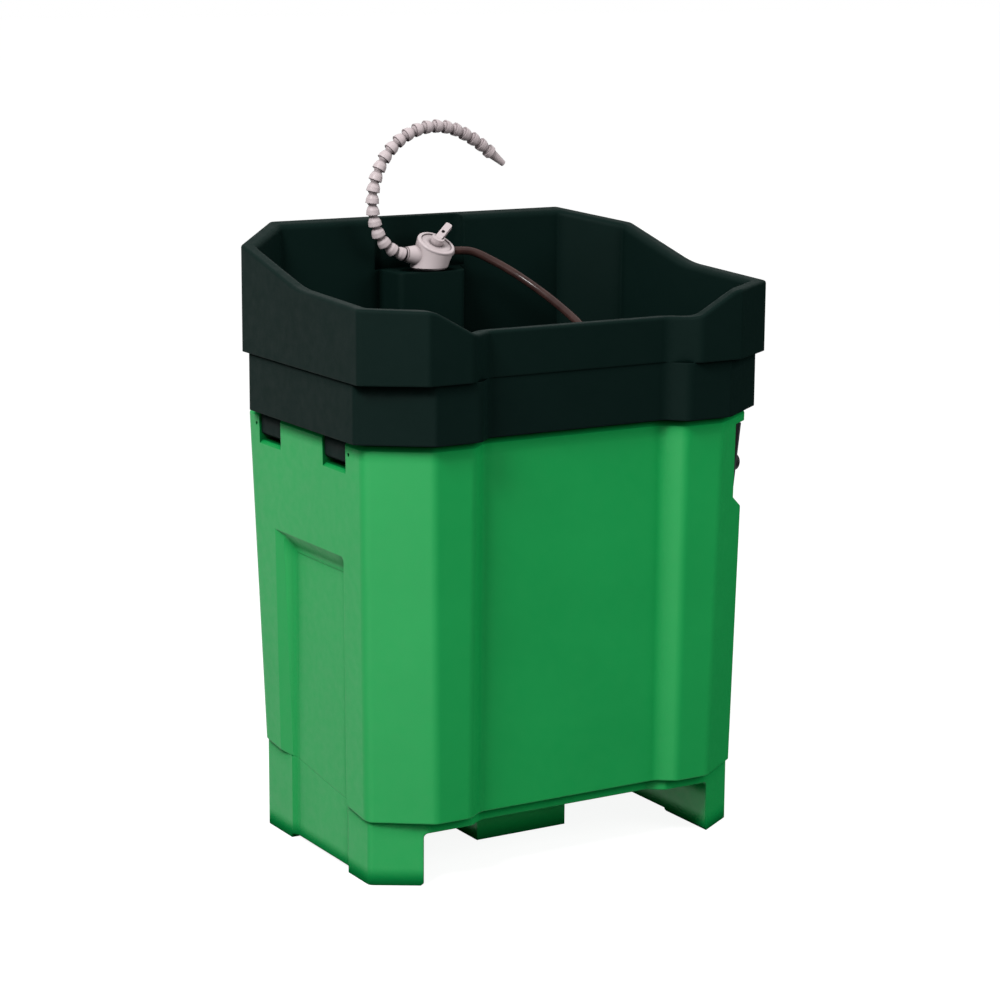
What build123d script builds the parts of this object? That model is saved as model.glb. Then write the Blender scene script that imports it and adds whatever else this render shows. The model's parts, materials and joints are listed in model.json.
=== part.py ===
from build123d import *
import math
import os

# Parts washer: a moulded tank with a sink hinged on top of it.
# Millimetres. X to the right, the user stands at negative Y, Z up, origin on the floor under the middle.

# Clearances
running_clearance = 0.05
ball_clearance = 0.25
loose_clearance = 0.4
coupling_clearance = 1.6

# Tank body, at its lower lip and at its top edge
tank_lip = 104.0
tank_top = 704.0
tank_half_width_top = 356.0
tank_side_draft = 10.0
tank_half_width_low = tank_half_width_top - tank_side_draft
tank_front_top = -257.0
tank_front_draft = 9.0
tank_front_low = tank_front_top + tank_front_draft
tank_back_top = 265.0
tank_back_draft = 35.0
tank_back_low = tank_back_top - tank_back_draft
tank_corner_width = 90.0
tank_corner_depth = 63.0
tank_panel_mouth = 194.5
tank_panel_floor = 165.5
tank_panel_depth_top = 28.0
tank_panel_depth_low = 21.0
tank_panel_front_low = tank_front_low + tank_panel_depth_low
tank_panel_front_top = tank_front_top + tank_panel_depth_top
tank_edge_round = 22.0
tank_panel_round = 20.0
tank_wall = 6.0
tank_side_wall = 7.0
rim_round = 10.0
rim_thickness = 22.0
rim_depth = 64.0
least_round = 2.0

# The lip runs level at the front and climbs towards the back
lip_climb_start = -187.0
lip_climb = 0.134

# Plinth, runners and centre sump under the tank
plinth_side_step = 5.0
plinth_front_step = 16.0
plinth_back_step = 8.0
plinth_half_width = tank_half_width_low - plinth_side_step
plinth_front = tank_front_low + plinth_front_step
plinth_back = tank_back_low - plinth_back_step
plinth_corner_width = 80.0
plinth_corner_depth = 49.0
plinth_panel_mouth = 184.0
plinth_panel_floor = 156.0
plinth_panel_depth = 18.0
plinth_panel_front = plinth_front + plinth_panel_depth
plinth_round = 12.0
plinth_overlap = 72.0
plinth_top = tank_lip + plinth_overlap
lip_depth = 18.0
channel_height = tank_lip - lip_depth
runner_width = 73.0
runner_inner = plinth_half_width - runner_width
runner_edge = 4.0
channel_round = 8.0
sump_half_width = 85.0
sump_front = -80.0
sump_back = 150.0
relief_height = 6.5
relief_front = -108.0
relief_back = 85.0

# Hand-grip recess in each side of the tank
grip_depth = 11.0
grip_plane = tank_half_width_low - grip_depth
grip_front = -108.0
grip_back = 75.0
grip_front_flare = 0.95
grip_back_flare = 1.2
grip_run_out_end = 112.0
grip_run_out_slope = 0.22
grip_below_top = 213.0
grip_ceiling = tank_top - grip_below_top
grip_ceiling_rise = 1.4
grip_round = 14.0
grip_panel_margin = 7.2

# Recess for the controls, high on the right side and open to the front corner
bay_depth = 40.0
bay_plane = tank_half_width_top - bay_depth
bay_below_top = 22.0
bay_top = tank_top - bay_below_top
bay_height = 122.0
bay_floor = bay_top - bay_height
bay_floor_fall = 0.68
bay_back = 75.0

# Sink hinge: two tabs of the sink in two notches of the tank's left edge
notch_width = 76.0
notch_places = (122.0, -100.0)
notch_depth = 49.0
notch_bottom = tank_top - notch_depth
notch_ledge = 6.0
tab_side_gap = 3.0
hinge_inset = 14.0
hinge_drop = 23.0
hinge_x = hinge_inset - tank_half_width_top
hinge_z = tank_top - hinge_drop
hinge_pin_radius = 4.0
hinge_pin_grip = 15.0
tab_outside = 11.0
tab_inside = 13.0
tab_round = 8.0
tab_drop = 18.0
pin_lock_radius = 3.0
pin_lock_depth = 8.0
pin_lock_margin = 2.0

# Sink: an upper band that overhangs a lower band, a gap above the tank
sink_gap = 1.0
sink_bottom = tank_top + sink_gap
sink_lower_band = 93.0
sink_band_split = sink_bottom + sink_lower_band
sink_side_overhang = 19.0
sink_front_overhang = 18.5
sink_back_overhang = 10.5
sink_half_width = tank_half_width_top + sink_side_overhang
sink_front = tank_front_top - sink_front_overhang
sink_back = tank_back_top + sink_back_overhang
sink_front_corner_width = 90.0
sink_front_corner_depth = 60.0
sink_back_corner_width = 98.0
sink_back_corner_depth = 93.5
sink_panel_mouth = 208.0
sink_panel_floor = 162.0
sink_panel_depth = 33.5
sink_panel_front = sink_front + sink_panel_depth
band_side_step = 3.5
band_panel_step = 1.5
band_front_step = 6.5
band_back_step = 17.0
band_corner_width = 101.0
band_corner_depth = 73.0
band_panel_mouth = 190.0
sink_edge_round = 10.0
sink_back_round = 14.0
sink_panel_round = 20.0

# Two pads under the right side that rest on the tank
pad_width = 8.0
pad_places = (-140.0, 140.0)
pad_length = 40.0

# Rim of the sink: nearly level in front, climbing to the back, with a dip across the front
rim_break_y = -10.0
sink_side_height = 216.0
rim_break_z = sink_bottom + sink_side_height
rim_cut_top = 2 * rim_break_z
rim_front_slope = 0.04
rim_back_slope = 0.26
rim_break_round = 250.0
dip_depth = 51.0
dip_height = rim_break_z - dip_depth
dip_half_width = 203.0
dip_slope = 0.553
dip_shoulder = 100.0
dip_round = 45.0
dip_end = sink_front / 2
rim_outer_round = 5.0
rim_inner_round = 10.0

# Basin inside the sink
basin_floor_thickness = 8.0
basin_floor = sink_bottom + basin_floor_thickness
basin_rim_wall = 23.0
basin_low_wall = 28.0
basin_floor_bevel = 14.0
basin_round = 32.0
shelf_height = 201.0
shelf_top = sink_bottom + shelf_height
shelf_depth = 93.5
shelf_front = sink_back - shelf_depth
shelf_left = -84.0
shelf_right = 40.0
shelf_left_flare = 4.0
shelf_right_flare = 40.0
niche_depth = 10.0
niche_flare = 8.0
niche_left = -96.0
niche_round = 16.0

# Drain in the basin floor
drain_y = -30.0
drain_bore = 24.0
drain_tail_radius = 28.0
drain_tail_length = 55.0
drain_tail_end = sink_bottom - drain_tail_length
drain_flange_radius = 46.0
drain_flange_thickness = 3.0
drain_gasket_thickness = 1.5
drain_nut_radius = 42.0
drain_nut_height = 14.0
strainer_thickness = 2.0
strainer_hole_radius = 2.4
strainer_inner_count = 5
strainer_inner_radius = 9.0
strainer_outer_count = 11
strainer_outer_radius = 18.0
strainer_stem_radius = 2.2
strainer_knob_radius = 5.0
strainer_knob_height = 12.0
basket_radius = 62.0
basket_wall = 2.0
basket_height = 90.0
basket_slot_count = 20
basket_slot_width = 8.0
basket_slot_margin = 14.0

# Diverter valve on the shelf
valve_x = -12.0
valve_from_back = 63.5
valve_y = sink_back - valve_from_back
valve_base_radius = 32.0
valve_gasket_thickness = 2.0
valve_base_z = shelf_top + valve_gasket_thickness
valve_cap_radius = 33.0
valve_cap_shift = 9.5
valve_cap_lean = 6.0
valve_cap_height = 39.5
valve_cap_x = valve_x + valve_cap_shift
valve_cap_y = valve_y - valve_cap_lean
valve_cap_z = valve_base_z + valve_cap_height
valve_cap_tilt = 29.0
valve_cap_turn = 16.0
valve_cap_thickness = 5.0
valve_cap_dish_radius = 27.0
valve_cap_dish_depth = 2.0
lever_hub_radius = 11.0
lever_hub_height = 12.0
lever_stem_radius = 5.0
lever_stem_depth = 12.0
lever_length = 44.0
lever_width = 12.0
lever_thickness = 8.0
lever_rise = 30.0
lever_heading = 22.0
lever_hole_radius = 3.0
lever_hole_place = 24.0
spout_radius = 13.0
spout_length = 17.0
spout_root_radius = 24.0
barb_radius = 8.5
barb_reach = 45.0
barb_end = valve_x + barb_reach
barb_height = 27.5
barb_z = valve_base_z + barb_height
valve_base_edge = 3.0

# Supply tube from the valve down through the sink, and the coupling it plugs into
supply_behind_valve = 14.0
supply_x = valve_x
supply_y = valve_y + supply_behind_valve
supply_radius = 8.0
supply_bore = 5.0
supply_collar_radius = 14.0
supply_collar_height = 10.0
coupling_shelf_half_width = 40.0
coupling_shelf_reach = 30.0
coupling_shelf_front = supply_y - coupling_shelf_reach
coupling_shelf_thickness = 14.0
coupling_cup_wall = 4.0
coupling_cup_height = 36.0
coupling_tube_gap = 8.0
coupling_flange_radius = 16.5
coupling_flange_thickness = 6.0
coupling_shank_radius = 12.0
coupling_shank_length = 26.0
coupling_nut_radius = 19.0
coupling_nut_height = 9.0
riser_radius = 11.0
riser_bore = 8.0
riser_bend = 60.0
riser_top_run = 88.0
riser_slant_height = 120.0

# Ball-and-socket hose
link_pitch = 18.9
ball_radius = 9.2
link_bore = 5.0
link_neck = 6.5
link_radius = 10.6
lip_radius = 11.3
lip_reach = 3.5
lip_edge = 2.0
flare_start = 7.2
flare_end = 14.5
taper_radius = 8.6
taper_end = 10.0
outlet_reach = 53.0
outlet_height = 27.5
outlet_heading = 172.0
outlet_shank_radius = 7.0
outlet_shank_length = 24.0
outlet_collar_radius = 11.5
outlet_collar_thickness = 3.0
# Turn of each link from the one before it: how many links, and by what angle
link_turn_counts = (4, 6, 6, 3, 3)
link_turn_angles = (15.5, 8.5, 9.3, 9.0, 4.5)
nozzle_length = 36.0
nozzle_collar = 7.5
nozzle_root = 8.5
nozzle_root_radius = 8.2
nozzle_tip_radius = 5.0
nozzle_tip_bore = 3.2

# Brush hose, laid from the valve into the basin, and the brush on its end
hose_radius = 7.0
hose_lift = 2.0
hose_rest = basin_floor + hose_radius + hose_lift
hose_route = (
    (barb_end, valve_y, barb_z),
    (52.0, valve_y, barb_z),
    (75.0, valve_y - 2.5, barb_z - 3.5),
    (100.0, valve_y - 13.5, barb_z - 17.0),
    (125.0, valve_y - 34.0, barb_z - 33.5),
    (145.0, valve_y - 61.0, barb_z - 52.5),
    (160.0, valve_y - 94.0, barb_z - 71.0),
    (171.0, valve_y - 132.0, barb_z - 91.0),
    (178.0, valve_y - 176.0, barb_z - 112.5),
    (180.0, -12.0, hose_rest + 70.0),
    (176.0, -64.0, hose_rest + 34.0),
    (158.0, -114.0, hose_rest + 9.0),
    (118.0, -152.0, hose_rest + 0.5),
    (58.0, -172.0, hose_rest),
    (-6.0, -168.0, hose_rest + 2.0),
    (-70.0, -142.0, hose_rest + 9.0),
    (-142.0, -88.0, hose_rest + 12.0),
)
brush_neck_radius = 9.0
brush_grip_radius = 12.5
brush_grip_length = 86.0
brush_head_radius = 17.0
brush_head_length = 26.0
bristle_length = 34.0
bristle_radius = 1.5
bristle_flare = 1.25

# Pump in the sump
pump_y = 60.0
pump_radius = 42.0
pump_base_radius = 48.0
pump_base_height = 24.0
pump_base_plate = 4.0
pump_base_slot_count = 12
pump_base_slot_width = 9.0
pump_inlet_radius = 11.0
pump_height = 100.0
pump_top_round = 8.0
volute_radius = 31.0
volute_height = 16.0
impeller_radius = 27.0
impeller_plate = 3.0
impeller_vane_count = 6
impeller_vane_width = 3.0
impeller_vane_height = 8.0
impeller_gap = 1.2
impeller_shaft_radius = 4.0
impeller_shaft_length = 46.0
pump_outlet_offset = 25.0
pump_outlet_height = 10.0

# Heater, thermostat probe and float switch on one plate behind the control bay
plate_thickness = 6.0
plate_front = -100.0
plate_back = 66.0
plate_below_bay_top = 62.0
plate_height = 40.0
heater_radius = 5.0
heater_reach = 42.0
heater_bend = 24.0
heater_above_floor = 58.0
heater_span = 132.0
heater_y = (-84.0, -24.0)
probe_y = 10.0
probe_radius = 2.0
probe_bulb_radius = 5.0
probe_bulb_length = 90.0
probe_above_floor = 78.0
probe_reach = 24.0
float_y = 50.0
float_stem_radius = 4.0
float_stem_reach = 40.0
float_stem_drop = 220.0
float_stop_radius = 9.0
float_stop_height = 6.0
float_radius = 21.0
float_height = 32.0
float_travel = 110.0

# Control box in the bay
box_front = -185.0
box_back = 25.0
box_height = 110.0
box_top_gap = 6.0
box_foot_depth = 21.0
box_head_depth = 34.0
box_top = bay_top - box_top_gap
box_bottom = box_top - box_height
box_foot = bay_plane + box_foot_depth
box_head = bay_plane + box_head_depth
box_wall = 3.0
panel_thickness = 3.0
panel_screw_radius = 3.6
panel_screw_height = 2.0
panel_screw_inset = 8.0
panel_screw_shank_radius = 1.6
panel_screw_shank_length = 2.0
knob_y = -163.0
knob_above_box = 42.0
knob_z = box_bottom + knob_above_box
knob_radius = 14.0
knob_height = 15.0
knob_round = 4.0
knob_shaft_radius = 3.0
knob_shaft_length = 12.0
knob_pointer_width = 2.5
knob_pointer_depth = 1.2
switch_y = -90.0
switch_above_box = 56.0
switch_z = box_bottom + switch_above_box
switch_width = 20.0
switch_height = 30.0
switch_pin_radius = 1.0
switch_pin_reach = 3.0
switch_gap = 1.0
switch_depth = 5.0
switch_tilt = 10.0
lamp_y = -40.0
lamp_z = switch_z
lamp_radius = 6.0
lamp_height = 5.0
gland_radius = 9.0
gland_tail_radius = 5.5
gland_nut_radius = 12.0
gland_length = 22.0
gland_bore = 4.0
gland_above_box = 38.0
gland_z = box_bottom + gland_above_box

# Drain plug of the tank, low at the back
plug_z = 128.0
plug_radius = 12.0
plug_head_radius = 17.0
plug_head_height = 9.0
plug_shank_length = 10.0

UPRIGHT = (Align.CENTER, Align.CENTER, Align.MIN)
FAR = 600.0


def post(radius, height):
    """Upright cylinder standing on its own origin."""
    return Cylinder(radius, height, align=UPRIGHT)


def ring(outer, inner, height):
    """Upright tube standing on its own origin."""
    return post(outer, height) - post(inner, height)


def block(x_range, y_range, z_range):
    """Box between pairs of limits."""
    spans = [high - low for low, high in (x_range, y_range, z_range)]
    corner = Pos(x_range[0], y_range[0], z_range[0])
    return corner * Box(*spans, align=(Align.MIN, Align.MIN, Align.MIN))


def prism(plane, points, depth, rounds=0.0):
    """Rounded polygon on a plane, pulled along the plane's normal."""
    profile = make_face(FilletPolyline(*points, radius=rounds, close=True))
    return extrude(plane * profile, depth)


def prism_x(points, low, high, rounds=0.0):
    """Prism along X from (y, z) points."""
    return prism(Plane.YZ.offset(low), points, high - low, rounds)


def prism_y(points, low, high, rounds=0.0):
    """Prism along Y from (x, z) points."""
    return prism(Plane.XZ.offset(-high), points, high - low, rounds)


def prism_z(points, low, high, rounds=0.0):
    """Prism along Z from (x, y) points."""
    return prism(Plane.XY.offset(low), points, high - low, rounds)


def hexagon(across_corners, height, bore):
    """Hexagonal nut standing on its own origin."""
    return extrude(RegularPolygon(across_corners, 6), height) - post(bore, height)


def bent_rod(points, radius, bend):
    """Round rod along straight runs with one bend radius."""
    path = FilletPolyline(*points, radius=bend)
    return sweep(Plane(path @ 0, z_dir=path % 0) * Circle(radius), path=path)


def both_sides(part):
    """A piece and its mirror image across the middle."""
    return part + mirror(part, about=Plane.YZ)


# Plan outlines with chamfered corners and a recessed front panel


def outline(half_width, front, back, front_corner, back_corner, mouth, floor, panel_front):
    """Counter-clockwise corners of a plan outline, same on both sides of the middle."""
    right = [
        (floor, panel_front),
        (mouth, front),
        (half_width - front_corner[0], front),
        (half_width, front + front_corner[1]),
        (half_width, back - back_corner[1]),
        (half_width - back_corner[0], back),
    ]
    return right + [(-x, y) for x, y in reversed(right)]


def corner_rounds(panel, edge, back):
    """Radii for the corners of an outline, in the same order."""
    right = [panel, panel, edge, edge, back, back]
    return right + right[::-1]


def outline_face(points, rounds, height, depth=0.0):
    """Face inside an outline at a height, moved inwards by a depth."""
    corners = []
    radii = []
    for index, point in enumerate(points):
        before = points[index - 1]
        after = points[(index + 1) % len(points)]
        arriving = (Vector(*point) - Vector(*before)).normalized()
        leaving = (Vector(*after) - Vector(*point)).normalized()
        inward = Vector(-arriving.Y - leaving.Y, arriving.X + leaving.X)
        step = inward * (depth / (1 + arriving.dot(leaving)))
        corners.append((point[0] + step.X, point[1] + step.Y, height))
        hollow = arriving.X * leaving.Y - arriving.Y * leaving.X < 0
        radii.append(rounds[index] + depth if hollow else max(rounds[index] - depth, least_round))
    return make_face(FilletPolyline(*corners, radius=radii, close=True))


def tank_outline(height):
    """Outline of the drafted tank body at a height."""
    share = (height - tank_lip) / (tank_top - tank_lip)

    def drafted(low, top):
        return low + (top - low) * share

    corner = (tank_corner_width, tank_corner_depth)
    return outline(
        drafted(tank_half_width_low, tank_half_width_top),
        drafted(tank_front_low, tank_front_top),
        drafted(tank_back_low, tank_back_top),
        corner,
        corner,
        tank_panel_mouth,
        tank_panel_floor,
        drafted(tank_panel_front_low, tank_panel_front_top),
    )


tank_rounds = corner_rounds(tank_panel_round, tank_edge_round, tank_edge_round)
plinth_corner = (plinth_corner_width, plinth_corner_depth)
plinth_outline = outline(
    plinth_half_width,
    plinth_front,
    plinth_back,
    plinth_corner,
    plinth_corner,
    plinth_panel_mouth,
    plinth_panel_floor,
    plinth_panel_front,
)
plinth_rounds = corner_rounds(plinth_round, plinth_round, plinth_round)
upper_outline = outline(
    sink_half_width,
    sink_front,
    sink_back,
    (sink_front_corner_width, sink_front_corner_depth),
    (sink_back_corner_width, sink_back_corner_depth),
    sink_panel_mouth,
    sink_panel_floor,
    sink_panel_front,
)
lower_outline = outline(
    sink_half_width - band_side_step,
    sink_front + band_front_step,
    sink_back - band_back_step,
    (band_corner_width, band_corner_depth),
    (sink_back_corner_width, sink_back_corner_depth),
    band_panel_mouth,
    sink_panel_floor,
    sink_panel_front + band_panel_step,
)
sink_rounds = corner_rounds(sink_panel_round, sink_edge_round, sink_back_round)


# Tank shell


def below_lip():
    """Everything below the line of the lip, which is also the seam between the tank's base and its walls."""
    lip_end = tank_lip + lip_climb * (FAR - lip_climb_start)
    side = [(-FAR, -1.0), (FAR, -1.0), (FAR, lip_end), (lip_climb_start, tank_lip), (-FAR, tank_lip)]
    return prism_x(side, -FAR, FAR)


def tank_body():
    """Drafted outside of the tank, with a rounded top edge and a climbing lower lip."""
    shoulder = tank_top - rim_round
    slant = math.sin(math.radians(45))
    top = tank_outline(tank_top)
    sections = [
        outline_face(tank_outline(tank_lip), tank_rounds, tank_lip),
        outline_face(tank_outline(shoulder), tank_rounds, shoulder),
        outline_face(top, tank_rounds, shoulder + rim_round * slant, rim_round * (1 - slant)),
        outline_face(top, tank_rounds, tank_top, rim_round),
    ]
    return loft(sections, ruled=True) - below_lip()


def tank_plinth():
    """Plinth with two runners, a centre sump and the fork channels between them."""
    plinth = extrude(outline_face(plinth_outline, plinth_rounds, 0.0), plinth_top)
    below = -10.0
    section = [
        (sump_half_width, below),
        (runner_inner + runner_edge - below, below),
        (runner_inner, runner_edge),
        (runner_inner, channel_height),
        (sump_half_width, channel_height),
    ]
    channel = prism_y(section, -FAR, FAR, rounds=[0.0, 0.0, runner_edge, channel_round, 0.0])
    middle = (-sump_half_width, sump_half_width)
    plinth -= both_sides(channel)
    plinth -= block(middle, (-FAR, sump_front), (-1.0, channel_height))
    plinth -= block(middle, (sump_back, FAR), (-1.0, channel_height))
    return plinth - runner_relief(0.0)


def runner_relief(grow):
    """Shallow arch under the middle of both runners."""
    arch = block(
        (runner_inner - grow, FAR),
        (relief_front - grow, relief_back + grow),
        (-1.0, relief_height + grow),
    )
    return both_sides(arch)


def grip_recess(grow):
    """Hand-grip recess on both sides, larger all round by a wall for the inside."""
    plane = grip_plane - grow
    reach = FAR - grip_plane
    front = grip_front - grow
    back = grip_back + grow
    ceiling = grip_ceiling + grow
    plan = [
        (plane, front),
        (FAR, front - grip_front_flare * reach),
        (FAR, back + grip_back_flare * reach),
        (plane, back),
    ]
    side = [
        (plane, -1.0),
        (FAR, -1.0),
        (FAR, ceiling + grip_ceiling_rise * reach),
        (plane, ceiling),
    ]
    cut = prism_z(plan, -1.0, ceiling + FAR) & prism_y(side, -FAR, FAR)
    inner = [edge for edge in cut.edges() if edge.center().X < FAR - 1 and edge.center().Z > 0]
    run_out = grip_run_out(grow) & prism_y(side, -FAR, FAR)
    return both_sides(fillet(inner, grip_round + grow) + run_out)


def grip_run_out(grow):
    """Gentle run-out behind the recess, parallel to the drafted side of the tank."""
    beyond = 5.0
    ends = []
    for height in (tank_lip, tank_top):
        side = tank_half_width_low + tank_side_draft * (height - tank_lip) / (tank_top - tank_lip) - grow
        points = [
            (side + beyond, grip_back, height),
            (side + beyond, grip_run_out_end + beyond / grip_run_out_slope, height),
            (side - grip_run_out_slope * (grip_run_out_end - grip_back), grip_back, height),
        ]
        ends.append(make_face(Polyline(*points, close=True)))
    return loft(ends, ruled=True) - below_lip()


def grip_panels():
    """The space of the flat panel at the bottom of both recesses."""
    panel = block(
        (grip_plane - tank_wall - 1.0, FAR),
        (grip_front + grip_panel_margin, grip_back - grip_panel_margin),
        (-1.0, grip_ceiling - grip_panel_margin),
    )
    return both_sides(panel)


def control_bay(grow):
    """Recess for the control box, larger by a wall for the inside."""
    plane = bay_plane - grow
    reach = FAR - plane
    points = [
        (plane, bay_top + grow),
        (plane, bay_floor - grow),
        (FAR, bay_floor - grow - bay_floor_fall * reach),
        (FAR, bay_top + grow),
    ]
    return prism_y(points, -FAR, bay_back + grow)


def tank_room():
    """Inside of the tank, a wall in from every outer face."""
    floor = channel_height + tank_wall
    rim_under = tank_top - rim_depth
    overlap = 1.0
    low_face = outline_face(plinth_outline, plinth_rounds, floor, tank_wall)
    low = extrude(low_face, plinth_top - floor + overlap)
    main = loft(
        [
            outline_face(tank_outline(plinth_top), tank_rounds, plinth_top, tank_side_wall),
            outline_face(tank_outline(rim_under), tank_rounds, rim_under, tank_side_wall),
        ],
        ruled=True,
    )
    mouth_face = outline_face(tank_outline(tank_top), tank_rounds, rim_under - overlap, rim_thickness)
    mouth = extrude(mouth_face, rim_depth + 2 * overlap)
    well = extrude(outline_face(plinth_outline, plinth_rounds, tank_wall, tank_wall), floor)
    runners = well & both_sides(block((runner_inner + tank_wall, FAR), (-FAR, FAR), (0.0, FAR)))
    sump = block(
        (-sump_half_width + tank_wall, sump_half_width - tank_wall),
        (sump_front + tank_wall, sump_back - tank_wall),
        (tank_wall, floor + overlap),
    )
    runners -= runner_relief(tank_wall)
    room = low + main + mouth + runners + sump
    return room - grip_recess(tank_wall) - control_bay(tank_wall)


def hinge_cuts():
    """Notches, pin bores and pin lock holes along the left edge."""
    cuts = []
    half = notch_width / 2
    bore = hinge_pin_radius + running_clearance
    for place in notch_places:
        outward = 1 if place > 0 else -1
        span = (place - half, place + half)
        cuts.append(block((-FAR, hinge_x + rim_thickness), span, (notch_bottom, 2 * FAR)))
        ledge_inside = notch_ledge - tank_half_width_top
        ledge = [
            (-FAR, notch_bottom + 1.0),
            (ledge_inside, notch_bottom + 1.0),
            (ledge_inside, notch_bottom),
            (ledge_inside - 2 * notch_ledge, notch_bottom - 2 * notch_ledge),
            (-FAR, notch_bottom - 2 * notch_ledge),
        ]
        cuts.append(prism_y(ledge, *span))
        pin_length = notch_width + 2 * hinge_pin_grip
        cuts.append(Pos(hinge_x, place, hinge_z) * Rot(90, 0, 0) * Cylinder(bore, pin_length))
        lock_y = place + outward * (half + hinge_pin_grip - pin_lock_radius - pin_lock_margin)
        lock = Pos(-tank_half_width_top, lock_y, hinge_z) * Rot(0, 90, 0) * Rot(0, 0, 90)
        cuts.append(lock * Cylinder(pin_lock_radius, 2 * pin_lock_depth))
    return cuts


def whole_tank():
    shell = tank_body() + tank_plinth()
    shell = shell - grip_recess(0.0) - control_bay(0.0) - tank_room()
    rim_under = tank_top - rim_depth
    shell += block(
        (-coupling_shelf_half_width, coupling_shelf_half_width),
        (coupling_shelf_front, tank_back_top - rim_thickness / 2),
        (rim_under, rim_under + coupling_shelf_thickness),
    )
    shank_hole = post(coupling_shank_radius + running_clearance, FAR)
    shell -= Pos(supply_x, supply_y, rim_under - 1.0) * shank_hole
    plug_hole = Rot(90, 0, 0) * Cylinder(plug_radius + running_clearance, 3 * plug_shank_length)
    shell -= Pos(0, plinth_back, plug_z) * plug_hole
    for cut in hinge_cuts():
        shell -= cut
    return shell


def hinge_pins():
    """One pin for each notch, held in the tank on both sides of the notch."""
    length = notch_width + 2 * hinge_pin_grip
    pin = Rot(90, 0, 0) * Cylinder(hinge_pin_radius, length)
    return [Pos(hinge_x, place, hinge_z) * pin for place in notch_places]


def drain_plug():
    head = Rot(-90, 0, 0) * extrude(RegularPolygon(plug_head_radius, 6), plug_head_height)
    shank = Rot(90, 0, 0) * post(plug_radius, plug_shank_length)
    return Pos(0, plinth_back, plug_z) * (head + shank)


# Sink


def rim_cut():
    """Everything above the side profile of the rim."""
    front_z = rim_break_z - rim_front_slope * (FAR + rim_break_y)
    back_z = rim_break_z + rim_back_slope * (FAR - rim_break_y)
    points = [
        (-FAR, front_z),
        (rim_break_y, rim_break_z),
        (FAR, back_z),
        (FAR, rim_cut_top),
        (-FAR, rim_cut_top),
    ]
    return prism_x(points, -FAR, FAR, rounds=[0.0, rim_break_round, 0.0, 0.0, 0.0])


def dip_cut():
    """Dip of the rim across the front."""
    shoulder = dip_half_width + dip_shoulder
    shoulder_z = dip_height + dip_slope * (shoulder - dip_half_width)
    points = [
        (-shoulder, shoulder_z),
        (-dip_half_width, dip_height),
        (dip_half_width, dip_height),
        (shoulder, shoulder_z),
        (shoulder, rim_cut_top),
        (-shoulder, rim_cut_top),
    ]
    return prism_y(points, -FAR, dip_end, rounds=[0.0, dip_round, dip_round, 0.0, 0.0, 0.0])


def basin_room():
    """Inside of the basin, around the shelf that carries the valve."""
    rounds = corner_rounds(basin_round, basin_round, basin_round)
    bevel_top = basin_floor + basin_floor_bevel
    top = 2 * rim_break_z - sink_bottom
    sections = [
        outline_face(upper_outline, rounds, basin_floor, basin_low_wall + basin_floor_bevel),
        outline_face(upper_outline, rounds, bevel_top, basin_low_wall),
        outline_face(upper_outline, rounds, top, basin_rim_wall),
    ]
    shelf = [
        (shelf_left - shelf_left_flare, sink_back),
        (shelf_left, shelf_front),
        (shelf_right, shelf_front),
        (shelf_right + shelf_right_flare, sink_back),
    ]
    shelf_rounds = [0.0, sink_edge_round, sink_edge_round, 0.0]
    return loft(sections, ruled=True) - prism_z(shelf, sink_bottom, shelf_top, rounds=shelf_rounds)


def niche_cut():
    """Shallow niche in the back wall, above the shelf."""
    wall = sink_back - basin_rim_wall
    right = shelf_right + shelf_right_flare
    plan = [
        (niche_left - niche_flare, wall - basin_rim_wall),
        (right + niche_flare, wall - basin_rim_wall),
        (right - niche_flare, wall + niche_depth),
        (niche_left + niche_flare, wall + niche_depth),
    ]
    return prism_z(plan, shelf_top, rim_cut_top, rounds=[0.0, 0.0, niche_round, niche_round])


def rim_edges(sink, faces_up):
    """Edges where the upward faces of the rim meet the walls."""
    edges = []
    for edge in sink.edges():
        holders = [face for face in faces_up if any(edge.is_same(other) for other in face.edges())]
        if len(holders) == 1:
            edges.append(edge)
    return edges


def round_rim(sink, room):
    """Small round outside and a large one towards the basin."""
    for radius, on_basin in ((rim_outer_round, False), (rim_inner_round, True)):
        upward = [
            face
            for face in sink.faces()
            if face.center().Z > dip_height - 1
            and face.normal_at(face.center()).Z > 0.8
            and abs(face.center().Z - shelf_top) > 1
        ]
        edges = [
            edge
            for edge in rim_edges(sink, upward)
            if room.is_inside(edge @ 0.5, 0.05) == on_basin
        ]
        sink = fillet(edges, radius)
    return sink


def sink_tabs():
    """Two tabs below the sink's left side that fill the notches, bored for the hinge pins."""
    length = notch_width - 2 * tab_side_gap
    section = [
        (hinge_x - tab_outside, hinge_z - tab_drop),
        (hinge_x + tab_inside, hinge_z - tab_drop),
        (hinge_x + tab_inside, sink_bottom + 1.0),
        (hinge_x - tab_outside, sink_bottom + 1.0),
    ]
    tabs = []
    for place in notch_places:
        start = place - length / 2
        tab = prism_y(section, start, start + length, rounds=[tab_round, tab_round, 0.0, 0.0])
        bore = Pos(hinge_x, place, hinge_z) * Rot(90, 0, 0)
        tabs.append(tab - bore * Cylinder(hinge_pin_radius + running_clearance, length + 2.0))
    return tabs


def rest_pads():
    """Pads that carry the right side of the sink on the tank's top edge."""
    outer = tank_half_width_top - rim_round
    pads = []
    for place in pad_places:
        y_range = (place - pad_length / 2, place + pad_length / 2)
        pads.append(block((outer - pad_width, outer), y_range, (tank_top, sink_bottom + 1.0)))
    return pads


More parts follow.
